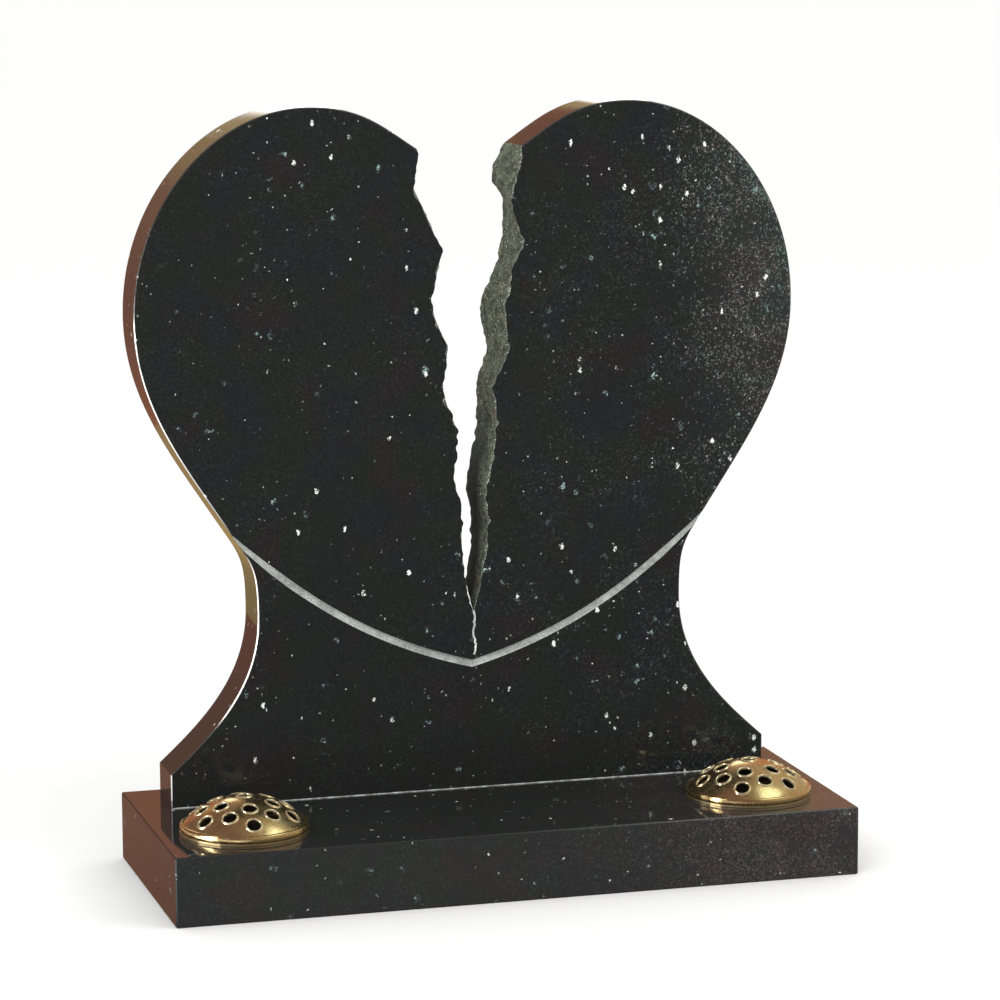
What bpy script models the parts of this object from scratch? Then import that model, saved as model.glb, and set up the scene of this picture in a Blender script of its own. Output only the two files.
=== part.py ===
# Heart headstone: a polished granite heart with an open break down its middle, on a granite
# base that holds two flower containers under pierced domed lids.
# Metres, +Z up. The origin is the centre of the base's underside and the front faces -Y.

import math

import bmesh
import bpy
from mathutils import Matrix, Vector, noise
from mathutils.geometry import interpolate_bezier

# Base block
base_width = 0.762
base_depth = 0.305
base_height = 0.076
base_arris = 0.0015

# Headstone: one slab, measured from its own underside
stone_thickness = 0.065
stone_setback = 0.2096          # from the base's front edge to the stone's face
stone_height = 0.764
stone_arris = 0.0012
foot_width = 0.686
foot_height = 0.038             # the foot's upright ends
waist_width = 0.486
waist_height = 0.207
neck_width = 0.561              # where the lobes' sides turn into the waist
neck_height = 0.315
heart_width = 0.749
heart_width_height = 0.539
lobe_spread = 0.362             # between the tops of the two lobes
notch_height = 0.682
neck_lean = math.radians(33.2)
foot_fall = math.radians(41.9)
notch_rise = math.radians(25.9)
side_steps = 14                 # straight pieces in each curve of the outline

# How hard each curve of the outline holds to its two end directions, as shares of its span
inner_lobe_pulls = (0.493, 0.413)
outer_lobe_pulls = (0.356, 0.410)
lobe_side_pulls = (0.362, 0.364)
neck_pulls = (0.515, 0.519)
flare_pulls = (0.402, 0.307)
heart_line_pulls = (0.36, 0.36)

# Open break: its mouth is the gap between the lobes
break_mouth = 0.117
break_top_height = 0.716
break_foot_height = 0.200
break_rows = 62
break_columns = 5
break_roughness = 0.0022

# Lines cut in the front face
heart_line_width = 0.0058
heart_line_depth = 0.0020
heart_line_tip_height = 0.142
heart_line_end_height = 0.295
heart_line_tip_rise = math.radians(14.5)
heart_line_end_rise = math.radians(43.0)
heart_line_overrun = 0.02
hairline_width = 0.0018
hairline_depth = 0.0012
hairline_foot_height = 0.152

# Flower containers, hung in holes bored through the base
container_inset = 0.0948        # from the base's front edge and its end to a container's centre
bore_diameter = 0.114
container_body_clearance = 0.0020
container_depth = 0.070
container_wall = 0.0010
container_corner = 0.0060
flange_diameter = 0.1396
flange_thickness = 0.0020
ridge_height = 0.0026           # the ring on the flange that the lid drops over
ridge_width = 0.0010

# Domed lids
lid_diameter = 0.140
lid_height = 0.0360             # from the flange to the dome's top
lid_wall = 0.0012
dome_diameter = 0.1310
dome_fullness = 0.88            # 0.5 is an ellipse, 1 is a flat parabola
bead_height = 0.0079             # the upright band round the dome's foot
groove_height = 0.0068
dome_stations = (0.0, 0.24, 0.46, 0.64, 0.79, 0.90, 0.97)
under_dome_stations = (0.96, 0.86, 0.70, 0.50, 0.26)
# The band's section: shares of half its width from its middle, and of its height
bead_section = ((-0.6, 1.0), (0.3, 0.95), (0.85, 0.72), (1.0, 0.42), (0.95, 0.12), (0.6, 0.0))
ridge_clearance = 0.0016        # to the dome's foot, which leans in above it
hole_diameter = 0.0145
hole_rings = ((0.0, 1, 0.0), (0.0325, 6, 0.0), (0.0462, 6, 0.5), (0.0548, 6, 0.0))
lid_turns = {"left": math.radians(-91.5), "right": math.radians(-116.5)}
turned_sides = 36
container_sides = 32
hole_sides = 10

# Gap kept between pieces that touch
piece_gap = 0.0003

base_front = -base_depth / 2
stone_front = base_front + stone_setback
stone_back = stone_front + stone_thickness
stone_foot = base_height + piece_gap
container_x = base_width / 2 - container_inset
container_y = base_front + container_inset
flange_foot = base_height + piece_gap
flange_top = flange_foot + flange_thickness
lid_foot = flange_top + piece_gap
body_radius = bore_diameter / 2 - container_body_clearance
ridge_radius = dome_diameter / 2 - lid_wall - ridge_clearance

# The break's edges: (share of the way up, left front, left back, right front, right back),
# each edge as a share of the mouth from the stone's centre line.
break_edges = (
    (0.000, 0.017, 0.017, 0.017, 0.017),
    (0.060, -0.043, -0.030, 0.086, 0.100),
    (0.125, -0.090, -0.060, 0.128, 0.130),
    (0.195, -0.080, -0.100, 0.171, 0.137),
    (0.250, -0.128, -0.090, 0.128, 0.100),
    (0.290, -0.180, -0.120, 0.145, 0.111),
    (0.353, -0.130, -0.150, 0.222, 0.180),
    (0.407, -0.145, -0.100, 0.256, 0.196),
    (0.484, -0.265, -0.190, 0.205, 0.214),
    (0.540, -0.230, -0.200, 0.325, 0.291),
    (0.576, -0.214, -0.160, 0.363, 0.300),
    (0.640, -0.342, -0.230, 0.346, 0.250),
    (0.674, -0.376, -0.300, 0.329, 0.282),
    (0.735, -0.316, -0.280, 0.410, 0.400),
    (0.781, -0.265, -0.240, 0.496, 0.450),
    (0.843, -0.393, -0.300, 0.470, 0.484),
    (0.882, -0.470, -0.370, 0.410, 0.470),
    (0.915, -0.538, -0.420, 0.427, 0.375),
    (0.955, -0.508, -0.450, 0.496, 0.390),
    (1.000, -0.487, -0.430, 0.513, 0.500),
)

# The hairline's turns: (share of the way down, share of the mouth from the centre line)
hairline_turns = (
    (-0.16, 0.012),
    (0.00, 0.016),
    (0.21, 0.030),
    (0.53, 0.012),
    (0.75, 0.037),
    (1.00, 0.022),
)


def clear_scene():
    for thing in list(bpy.data.objects):
        bpy.data.objects.remove(thing, do_unlink=True)


def make_material(name, color, roughness, metallic):
    material = bpy.data.materials.new(name)
    material.use_nodes = True
    shader = material.node_tree.nodes["Principled BSDF"]
    shader.inputs["Base Color"].default_value = (*color, 1.0)
    shader.inputs["Roughness"].default_value = roughness
    shader.inputs["Metallic"].default_value = metallic
    material.diffuse_color = (*color, 1.0)
    return material


def add_object(name, bm, material=None, smooth_angle=None):
    bmesh.ops.recalc_face_normals(bm, faces=bm.faces)
    mesh = bpy.data.meshes.new(name)
    bm.to_mesh(mesh)
    bm.free()
    if smooth_angle is not None:
        mesh.shade_smooth()
        mesh.set_sharp_from_angle(angle=smooth_angle)
    made = bpy.data.objects.new(name, mesh)
    bpy.context.collection.objects.link(made)
    if material:
        mesh.materials.append(material)
    return made


def cut(target, cutter):
    """Cut one object out of another and keep the cutter as a hidden guide."""
    cutter.display_type = "WIRE"
    cutter.hide_render = True
    boolean = target.modifiers.new(cutter.name, "BOOLEAN")
    boolean.operation = "DIFFERENCE"
    boolean.solver = "EXACT"
    boolean.object = cutter


def heading(angle):
    return Vector((math.cos(angle), math.sin(angle)))


def arc_between(start, start_way, end, end_way, pulls):
    """Points on a smooth curve that leaves and arrives in the given directions."""
    span = (end - start).length
    first = start + start_way * span * pulls[0]
    second = end - end_way * span * pulls[1]
    return [Vector(point).to_2d() for point in
            interpolate_bezier(start, first, second, end, side_steps + 1)]


def stone_side():
    """The right side of the slab's outline, from the notch down to the foot."""
    notch = Vector((0.0, notch_height))
    lobe_top = Vector((lobe_spread / 2, stone_height))
    widest = Vector((heart_width / 2, heart_width_height))
    neck = Vector((neck_width / 2, neck_height))
    waist = Vector((waist_width / 2, waist_height))
    shoulder = Vector((foot_width / 2, foot_height))
    outward = heading(0.0)
    down = heading(-math.pi / 2)
    inward_down = heading(-math.pi / 2 - neck_lean)
    curves = (
        arc_between(notch, heading(notch_rise), lobe_top, outward, inner_lobe_pulls),
        arc_between(lobe_top, outward, widest, down, outer_lobe_pulls),
        arc_between(widest, down, neck, inward_down, lobe_side_pulls),
        arc_between(neck, inward_down, waist, down, neck_pulls),
        arc_between(waist, down, shoulder, heading(-foot_fall), flare_pulls),
    )
    points = [notch]
    for curve in curves:
        points.extend(curve[1:])
    points.append(Vector((foot_width / 2, 0.0)))
    return points


def side_at(points, height):
    """How far the outline stands from the centre line at a height below the widest place."""
    for above, below in zip(points, points[1:]):
        if below.y <= height <= above.y and above.y < heart_width_height:
            share = (height - below.y) / (above.y - below.y)
            return below.x + (above.x - below.x) * share
    raise ValueError("the outline doesn't reach this height")


def slab(outline, y_front, y_back, arris):
    """Extrude an outline in X and Z through the slab and take the sharp arrises off."""
    bm = bmesh.new()
    front = bm.faces.new([bm.verts.new((x, y_front, z)) for x, z in outline])
    swept = bmesh.ops.extrude_face_region(bm, geom=[front])
    back_verts = [item for item in swept["geom"] if isinstance(item, bmesh.types.BMVert)]
    bmesh.ops.translate(bm, verts=back_verts, vec=(0.0, y_back - y_front, 0.0))
    bmesh.ops.recalc_face_normals(bm, faces=bm.faces)
    sharp = [edge for edge in bm.edges if edge.calc_face_angle() > math.radians(30)]
    sharp = [edge for edge in sharp if max(abs(v.co.x) for v in edge.verts) > piece_gap]
    bmesh.ops.bevel(bm, geom=sharp, offset=arris, segments=1, affect="EDGES", clamp_overlap=True)
    return bm


def break_edge_at(share):
    """The four edges of the break at a share of the way up, in metres from the centre line."""
    for low, high in zip(break_edges, break_edges[1:]):
        if share <= high[0]:
            blend = (share - low[0]) / (high[0] - low[0])
            return [break_mouth * (a + (b - a) * blend) for a, b in zip(low[1:], high[1:])]
    return [break_mouth * edge for edge in break_edges[-1][1:]]


def rough_step(x, y, z, gap):
    """A torn surface's small steps: coarse and fine noise, dying out where the break closes."""
    coarse = noise.noise(Vector((x, y / 0.026, z / 0.030)))
    fine = noise.noise(Vector((x + 7.0, y / 0.010, z / 0.011)))
    calm = min(1.0, gap / 0.030)
    return break_roughness * calm * (1.6 * coarse + 1.1 * fine)


def break_cutter():
    """A solid that fills the open break and stands past both faces and the top."""
    overrun = 0.012
    run = break_top_height - break_foot_height
    top_share = (stone_height + overrun - break_foot_height) / run
    depths = [stone_front - overrun]
    depths += [stone_front + stone_thickness * i / break_columns for i in range(break_columns + 1)]
    depths.append(stone_back + overrun)
    bm = bmesh.new()
    walls = ([], [])
    for row in range(break_rows + 1):
        share = top_share * row / break_rows
        z = stone_foot + break_foot_height + run * share
        edges = break_edge_at(share)
        lines = ([], [])
        for y in depths:
            through = min(1.0, max(0.0, (y - stone_front) / stone_thickness))
            left = edges[0] + (edges[1] - edges[0]) * through
            right = edges[2] + (edges[3] - edges[2]) * through
            gap = right - left
            left += rough_step(3.0, y, z, gap)
            right += rough_step(11.0, y, z, gap)
            if row == 0:
                apex = bm.verts.new((left, y, z))
                lines[0].append(apex)
                lines[1].append(apex)
            else:
                lines[0].append(bm.verts.new((left, y, z)))
                lines[1].append(bm.verts.new((right, y, z)))
        walls[0].append(lines[0])
        walls[1].append(lines[1])
    left_wall, right_wall = walls
    for wall in walls:
        for low, high in zip(wall, wall[1:]):
            for i in range(len(depths) - 1):
                bm.faces.new((low[i], low[i + 1], high[i + 1], high[i]))
    for end in (0, -1):
        bm.faces.new((left_wall[0][end], right_wall[1][end], left_wall[1][end]))
        for row in range(1, break_rows):
            bm.faces.new((left_wall[row][end], right_wall[row][end],
                          right_wall[row + 1][end], left_wall[row + 1][end]))
    bm.faces.new(left_wall[-1] + right_wall[-1][::-1])
    return add_object("break_cutter", bm)


def line_cutter(name, path, width, depth):
    """A V-bottomed chisel line along a path of X and Z points in the stone's face."""
    overrun = 0.003
    slope = width / 2 / depth
    sections = ((stone_front - overrun, width / 2 + overrun * slope), (stone_front + depth, 0.0))
    bm = bmesh.new()
    rings = []
    for i, point in enumerate(path):
        before = path[max(i - 1, 0)]
        after = path[min(i + 1, len(path) - 1)]
        first = (point - before).normalized() if i else (after - point).normalized()
        second = (after - point).normalized() if i < len(path) - 1 else first
        along = (first + second).normalized()
        across = Vector((-along.y, along.x))
        mitre = 1.0 / max(0.5, along.dot(first))
        ring = []
        for offset in (-1.0, 1.0):
            place = point + across * sections[0][1] * mitre * offset
            ring.append(bm.verts.new((place.x, sections[0][0], place.y)))
        ring.append(bm.verts.new((point.x, sections[1][0], point.y)))
        rings.append(ring)
    for ring, following in zip(rings, rings[1:]):
        for i in range(3):
            j = (i + 1) % 3
            bm.faces.new((ring[i], ring[j], following[j], following[i]))
    bm.faces.new(rings[0][::-1])
    bm.faces.new(rings[-1])
    return add_object(name, bm)


def heart_line_path(side):
    """The V of two curves that draws the heart's lower side, a little past the outline."""
    tip = Vector((0.0, stone_foot + heart_line_tip_height))
    end_x = side_at(side, heart_line_end_height)
    end = Vector((end_x, stone_foot + heart_line_end_height))
    end_way = heading(heart_line_end_rise)
    arm = arc_between(tip, heading(heart_line_tip_rise), end, end_way, heart_line_pulls)
    arm.append(end + end_way * heart_line_overrun)
    mirrored = [Vector((-point.x, point.y)) for point in arm[:0:-1]]
    return mirrored + arm


def hairline_path():
    run = break_foot_height - hairline_foot_height
    start = stone_foot + break_foot_height
    return [Vector((break_mouth * x, start - run * share)) for share, x in hairline_turns]


def make_headstone(material):
    side = stone_side()
    right = [(point.x, stone_foot + point.y) for point in side]
    left = [(-x, z) for x, z in right[:0:-1]]
    bm = slab(right + left, stone_front, stone_back, stone_arris)
    stone = add_object("headstone", bm, material, math.radians(20))
    cut(stone, break_cutter())
    cut(stone, line_cutter("heart_line_cutter", heart_line_path(side),
                           heart_line_width, heart_line_depth))
    cut(stone, line_cutter("hairline_cutter", hairline_path(), hairline_width, hairline_depth))
    return stone


def make_base(material):
    bm = bmesh.new()
    bmesh.ops.create_cube(bm, size=1.0)
    bmesh.ops.scale(bm, verts=bm.verts, vec=(base_width, base_depth, base_height))
    bmesh.ops.translate(bm, verts=bm.verts, vec=(0.0, 0.0, base_height / 2))
    bmesh.ops.bevel(bm, geom=bm.edges[:], offset=base_arris, segments=1, affect="EDGES")
    block = add_object("base", bm, material)
    for side in (-1, 1):
        bore = bmesh.new()
        place = Matrix.Translation((side * container_x, container_y, base_height / 2))
        bmesh.ops.create_cone(bore, cap_ends=True, segments=turned_sides, matrix=place,
                              radius1=bore_diameter / 2, radius2=bore_diameter / 2,
                              depth=base_height * 1.5)
        cut(block, add_object("bore_cutter_left" if side < 0 else "bore_cutter_right", bore))
    return block


def turned(name, profile, sides, center, material):
    """Spin a profile of radius and height, from axis to axis, round an upright axis."""
    bm = bmesh.new()
    verts = [bm.verts.new((radius, 0.0, height)) for radius, height in profile]
    edges = [bm.edges.new(pair) for pair in zip(verts, verts[1:])]
    bmesh.ops.spin(bm, geom=verts + edges, cent=(0.0, 0.0, 0.0), axis=(0.0, 0.0, 1.0),
                   angle=math.tau, steps=sides, use_merge=True)
    bmesh.ops.remove_doubles(bm, verts=bm.verts, dist=piece_gap / 30)
    made = add_object(name, bm, material, math.radians(35))
    made.location = center
    return made


def container_profile():
    """A cup with a flat flange and a low ring on it, heights from the base's top."""
    outer = body_radius
    inner = outer - container_wall
    floor = -container_depth
    flange_low = piece_gap
    flange_high = flange_low + flange_thickness
    profile = [(0.0, floor), (outer - container_corner, floor), (outer, floor + container_corner)]
    profile += [(outer, flange_low), (flange_diameter / 2, flange_low)]
    profile += [(flange_diameter / 2, flange_high), (ridge_radius, flange_high)]
    profile += [(ridge_radius, flange_high + ridge_height)]
    profile += [(ridge_radius - ridge_width, flange_high + ridge_height)]
    profile += [(ridge_radius - ridge_width, flange_high), (inner, flange_high)]
    profile += [(inner, floor + container_corner), (inner - container_corner, floor + container_wall)]
    profile += [(0.0, floor + container_wall)]
    return profile


def dome_height_at(radius):
    """Height of the dome's outer face above the lid's foot."""
    rise = lid_height - groove_height
    share = radius / (dome_diameter / 2)
    return groove_height + rise * (1.0 - share * share) ** dome_fullness


def lid_profile():
    """A thin dome with an upright band round its foot, heights from the lid's foot."""
    dome_radius = dome_diameter / 2
    profile = [(dome_radius * share, dome_height_at(dome_radius * share)) for share in dome_stations]
    profile.append((dome_radius, groove_height))
    bead_half = (lid_diameter / 2 - dome_radius) / 2
    bead_middle = dome_radius + bead_half
    profile += [(bead_middle + bead_half * x, bead_height * z) for x, z in bead_section]
    inner_radius = dome_radius - lid_wall
    profile.append((inner_radius, 0.0))
    for share in under_dome_stations:
        profile.append((inner_radius * share, dome_height_at(dome_radius * share) - lid_wall))
    profile.append((0.0, lid_height - lid_wall))
    return profile


def stem_hole_cutter(name, center, turn):
    """Round cutters standing square to the dome at every stem hole."""
    bm = bmesh.new()
    reach = hole_diameter
    for radius, count, offset in hole_rings:
        step = 0.0005
        rise = dome_height_at(radius + step) - dome_height_at(abs(radius - step))
        tilt = math.atan2(-rise, 2 * step) if radius else 0.0
        for i in range(count):
            place = (Matrix.Translation(center)
                     @ Matrix.Rotation(turn + math.tau * (i + offset) / count, 4, "Z")
                     @ Matrix.Translation((radius, 0.0, dome_height_at(radius)))
                     @ Matrix.Rotation(tilt, 4, "Y"))
            bmesh.ops.create_cone(bm, cap_ends=True, segments=hole_sides, matrix=place,
                                  radius1=hole_diameter / 2, radius2=hole_diameter / 2,
                                  depth=reach)
    return add_object(name, bm)


def make_containers(container_material, lid_material):
    for side_name, side in (("left", -1), ("right", 1)):
        x = side * container_x
        turned("flower_container_" + side_name, container_profile(), container_sides,
               (x, container_y, base_height), container_material)
        center = Vector((x, container_y, lid_foot))
        lid = turned("flower_lid_" + side_name, lid_profile(), turned_sides, center,
                     lid_material)
        bpy.context.view_layer.update()
        cut(lid, stem_hole_cutter("stem_hole_cutter_" + side_name, center, lid_turns[side_name]))


def main():
    clear_scene()
    granite = make_material("polished_dark_granite", (0.020, 0.024, 0.024), 0.06, 0.0)
    aluminium = make_material("container_aluminium", (0.62, 0.60, 0.56), 0.35, 1.0)
    gilt = make_material("gold_anodised_lid", (0.83, 0.58, 0.20), 0.22, 1.0)
    make_base(granite)
    make_headstone(granite)
    make_containers(aluminium, gilt)


main()
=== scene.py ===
# Heart headstone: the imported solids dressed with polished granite, torn stone and gilt lids.
# Metres, +Z up, the front faces -Y. Sizes repeat the ones that the solids were made from.

import itertools
import math

import bmesh
import bpy
import numpy as np
from mathutils import Matrix, Vector


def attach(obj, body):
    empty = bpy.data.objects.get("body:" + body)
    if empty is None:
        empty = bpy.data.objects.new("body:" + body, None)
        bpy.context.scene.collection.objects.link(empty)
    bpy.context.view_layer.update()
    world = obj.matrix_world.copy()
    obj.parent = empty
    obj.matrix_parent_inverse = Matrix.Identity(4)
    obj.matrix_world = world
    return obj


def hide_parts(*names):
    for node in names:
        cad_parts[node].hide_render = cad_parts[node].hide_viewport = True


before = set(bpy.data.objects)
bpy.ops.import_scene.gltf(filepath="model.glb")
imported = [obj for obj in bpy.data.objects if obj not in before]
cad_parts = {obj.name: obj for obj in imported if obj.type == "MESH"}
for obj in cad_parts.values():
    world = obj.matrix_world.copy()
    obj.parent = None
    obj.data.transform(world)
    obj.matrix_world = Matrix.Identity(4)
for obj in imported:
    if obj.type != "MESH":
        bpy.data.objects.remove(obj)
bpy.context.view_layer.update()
print("packed solids loaded:", ", ".join(sorted(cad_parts)))


# Camera, as worked out from the base's, the stone's and the lids' edges

cameraSetup = {
    "place": (-1.1496, -4.0925, 1.1278),
    "yaw": 15.909,      # degrees to the right of straight on
    "pitch": 9.560,     # degrees down
    "roll": -0.251,
    "lens": 142.03,
}


def makeCamera(setup):
    yaw, pitch, roll = (math.radians(setup[name]) for name in ("yaw", "pitch", "roll"))
    ahead = Vector((math.sin(yaw) * math.cos(pitch), math.cos(yaw) * math.cos(pitch), -math.sin(pitch)))
    levelRight = Vector((math.cos(yaw), -math.sin(yaw), 0.0))
    levelUp = levelRight.cross(ahead)
    right = math.cos(roll) * levelRight + math.sin(roll) * levelUp
    up = -math.sin(roll) * levelRight + math.cos(roll) * levelUp
    lensData = bpy.data.cameras.new("camera")
    lensData.lens = setup["lens"]
    lensData.sensor_width = 36.0
    lensData.clip_end = 200.0
    camera = bpy.data.objects.new("camera", lensData)
    turn = Matrix((right, up, -ahead)).transposed()
    camera.matrix_world = Matrix.Translation(setup["place"]) @ turn.to_4x4()
    bpy.context.collection.objects.link(camera)
    bpy.context.scene.camera = camera


makeCamera(cameraSetup)
print("camera placed")


# Small tools for meshes

def latticeNoise(points, seed):
    # Random heights from -1 to 1 on a lattice one unit apart, blended between its corners
    # by the smooth step 3t^2 - 2t^3 along each axis.
    table = np.random.default_rng(seed).random(4096) * 2.0 - 1.0
    cell = np.floor(points).astype(np.int64)
    share = points - cell
    share = share * share * (3.0 - 2.0 * share)
    total = np.zeros(points.shape[:-1])
    for corner in itertools.product((0, 1), repeat=3):
        spot = (cell + np.array(corner)) * np.array((7919, 104729, 15485863))
        index = np.abs(spot[..., 0] ^ spot[..., 1] ^ spot[..., 2]) % 4096
        weight = np.prod(np.where(np.array(corner) == 1, share, 1.0 - share), axis=-1)
        total += weight * table[index]
    return total


def curveBetween(start, startAngle, end, endAngle, pulls, steps):
    # A cubic curve that leaves and arrives in the given directions; each handle is a share
    # (the pull) of the distance between the ends.
    start, end = np.array(start), np.array(end)
    span = np.linalg.norm(end - start)
    first = start + np.array((math.cos(startAngle), math.sin(startAngle))) * span * pulls[0]
    second = end - np.array((math.cos(endAngle), math.sin(endAngle))) * span * pulls[1]
    t = np.linspace(0.0, 1.0, steps + 1)[:, None]
    return ((1 - t) ** 3 * start + 3 * (1 - t) ** 2 * t * first
            + 3 * (1 - t) * t ** 2 * second + t ** 3 * end)


def sideways(path, closed):
    # The mitred direction to the left of a path at each point: the sum of the two
    # neighbouring lines' normals, over one plus their product, so that lines stay parallel.
    ahead = np.roll(path, -1, axis=0) - path
    if not closed:
        ahead[-1] = ahead[-2]
    ahead /= np.linalg.norm(ahead, axis=1)[:, None]
    normal = np.stack((-ahead[:, 1], ahead[:, 0]), axis=1)
    before = np.roll(normal, 1, axis=0)
    if not closed:
        before[0] = normal[0]
    product = (normal * before).sum(axis=1)[:, None]
    return (normal + before) / (1.0 + product)


def carrySection(path, section, closed):
    # Every point of a path of X and Z, moved sideways by the section's first number and set
    # at the depth (Y) of its second.
    section = np.array(section)
    side = sideways(path, closed)
    flat = path[:, None, :] + side[:, None, :] * section[None, :, :1]
    depth = np.broadcast_to(section[None, :, 1], flat.shape[:2])
    return np.stack((flat[..., 0], depth, flat[..., 1]), axis=-1)


def gridFaces(rows, columns, rowsClosed, columnsClosed):
    # Quads between neighbouring rows and columns of a grid numbered row by row.
    rowCount = rows if rowsClosed else rows - 1
    columnCount = columns if columnsClosed else columns - 1
    row = np.arange(rowCount)[:, None]
    column = np.arange(columnCount)[None, :]
    nextRow = (row + 1) % rows
    nextColumn = (column + 1) % columns
    corners = (row * columns + column, nextRow * columns + column,
               nextRow * columns + nextColumn, row * columns + nextColumn)
    corners = [np.broadcast_to(corner, (rowCount, columnCount)) for corner in corners]
    return np.stack(corners, axis=-1).reshape(-1, 4)


def buildSolid(name, points, faces, caps=(), materials=(), faceMaterials=None):
    # Points and faces into an object, with near points merged and every face turned outwards.
    mesh = bpy.data.meshes.new(name)
    every = faces.tolist() + [list(cap) for cap in caps]
    mesh.from_pydata(points.reshape(-1, 3).tolist(), [], every)
    for material in materials:
        mesh.materials.append(material)
    if faceMaterials is not None:
        mesh.polygons.foreach_set("material_index", faceMaterials)
    bm = bmesh.new()
    bm.from_mesh(mesh)
    bmesh.ops.remove_doubles(bm, verts=bm.verts, dist=2e-6)
    bmesh.ops.recalc_face_normals(bm, faces=bm.faces)
    bm.to_mesh(mesh)
    bm.free()
    made = bpy.data.objects.new(name, mesh)
    bpy.context.collection.objects.link(made)
    return made


def cutAway(target, cutters):
    # Cut solids out of a target for good; each cut face keeps its cutter's material.
    for cutter in cutters:
        boolean = target.modifiers.new(cutter.name, "BOOLEAN")
        boolean.operation = "DIFFERENCE"
        boolean.solver = "EXACT"
        boolean.material_mode = "TRANSFER"
        boolean.object = cutter
    bpy.context.view_layer.update()
    done = target.evaluated_get(bpy.context.evaluated_depsgraph_get())
    mesh = bpy.data.meshes.new_from_object(done)
    target.modifiers.clear()
    target.data = mesh
    for cutter in cutters:
        bpy.data.objects.remove(cutter, do_unlink=True)
    return target


def shadeBy(made, angle):
    made.data.shade_smooth()
    made.data.set_sharp_from_angle(angle=math.radians(angle))


# Small tools for materials

def addNode(tree, kind, feeds=None, **settings):
    made = tree.nodes.new(kind)
    for name, value in settings.items():
        setattr(made, name, value)
    for name, value in (feeds or {}).items():
        if isinstance(value, bpy.types.NodeSocket):
            tree.links.new(value, made.inputs[name])
        else:
            made.inputs[name].default_value = value
    return made


def maths(tree, operation, first, second=0.0, third=0.0, clamp=False):
    made = addNode(tree, "ShaderNodeMath", {0: first, 1: second, 2: third}, operation=operation)
    made.use_clamp = clamp
    return made.outputs[0]


def stepBetween(tree, value, low, high, toLow=0.0, toHigh=1.0):
    feeds = {"Value": value, "From Min": low, "From Max": high, "To Min": toLow, "To Max": toHigh}
    made = addNode(tree, "ShaderNodeMapRange", feeds, interpolation_type="SMOOTHSTEP")
    return made.outputs["Result"]


def blendColours(tree, share, first, second, blendType="MIX"):
    made = addNode(tree, "ShaderNodeMix", data_type="RGBA", blend_type=blendType)
    for index, value in ((0, share), (6, first), (7, second)):
        if isinstance(value, bpy.types.NodeSocket):
            tree.links.new(value, made.inputs[index])
        elif index == 0:
            made.inputs[index].default_value = value
        else:
            made.inputs[index].default_value = (*value, 1.0)
    return made.outputs[2]


def grainNoise(tree, place, scale, detail=2.0, roughness=0.5):
    feeds = {"Vector": place, "Scale": scale, "Detail": detail, "Roughness": roughness}
    return addNode(tree, "ShaderNodeTexNoise", feeds).outputs["Fac"]


def objectPlace(tree):
    return addNode(tree, "ShaderNodeTexCoord").outputs["Object"]


def scaleColour(tree, colour, level):
    return addNode(tree, "ShaderNodeVectorMath", {0: colour, "Scale": level}, operation="SCALE").outputs[0]


def shakePlace(tree, place, moved, scale, reach):
    # Moves a pattern's place by noise of the given scale, by half the reach at most
    shake = addNode(tree, "ShaderNodeTexNoise", {"Vector": place, "Scale": scale, "Detail": 1.0})
    centred = addNode(tree, "ShaderNodeVectorMath", {0: shake.outputs["Color"], 1: (0.5, 0.5, 0.5)},
                      operation="SUBTRACT").outputs[0]
    return addNode(tree, "ShaderNodeVectorMath", {0: centred, 1: (reach,) * 3, 2: moved},
                   operation="MULTIPLY_ADD").outputs[0]


def crystalCells(tree, place, scale):
    # Distance to the nearest crystal's middle, and three random numbers for that crystal
    cells = addNode(tree, "ShaderNodeTexVoronoi", {"Vector": place, "Scale": scale})
    parts = addNode(tree, "ShaderNodeSeparateColor", {0: cells.outputs["Color"]})
    return cells.outputs["Distance"], parts.outputs[0], parts.outputs[1], parts.outputs[2]


def startGroup(name, inputs, outputs):
    group = bpy.data.node_groups.new(name, "ShaderNodeTree")
    for label, value in inputs.items():
        made = group.interface.new_socket(name=label, in_out="INPUT", socket_type="NodeSocketFloat")
        made.default_value = value
    for label, kind in outputs.items():
        group.interface.new_socket(name=label, in_out="OUTPUT", socket_type=kind)
    return group, group.nodes.new("NodeGroupInput"), group.nodes.new("NodeGroupOutput")


def startMaterial(name, colour, **shaderValues):
    material = bpy.data.materials.new(name)
    material.use_nodes = True
    material.diffuse_color = (*colour, 1.0)
    tree = material.node_tree
    shader = tree.nodes["Principled BSDF"]
    shader.inputs["Base Color"].default_value = (*colour, 1.0)
    for label, value in shaderValues.items():
        shader.inputs[label].default_value = value
    return material, tree, shader


def feedShader(tree, shader, colour, rough, height, strength, distance):
    relief = addNode(tree, "ShaderNodeBump", {"Height": height, "Strength": strength, "Distance": distance})
    for label, value in (("Base Color", colour), ("Roughness", rough), ("Normal", relief.outputs[0])):
        tree.links.new(value, shader.inputs[label])


# Granite: near-black ground, silver flecks, blue-green crystals and a painted sheen towards the right

granite = {
    "greenBlack": (0.0168, 0.0184, 0.0168),
    "blueBlack": (0.0168, 0.0172, 0.0182),
    "plumBlack": (0.0190, 0.0170, 0.0172),
    "silver": (0.92, 0.95, 0.93),
    "teal": (0.085, 0.125, 0.112),
    "glint": (0.36, 0.52, 0.52),
    # painted sheen: light caught by crystals along the stone's right edge
    "paintedSheen": (0.245, 0.215, 0.195),
    "paintedSeaSheen": (0.160, 0.245, 0.220),
    # painted warm reflection on the base's right end; dusk is its darker tone
    "paintedReflection": (0.110, 0.068, 0.074),
    "dusk": (0.100, 0.082, 0.078),
    "mosaicScale": 820.0,       # crystals a little over a millimetre across
    "fleckScale": 200.0,
    "bigFleckScale": 74.0,
    "clusterScale": 58.0,
}


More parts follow.
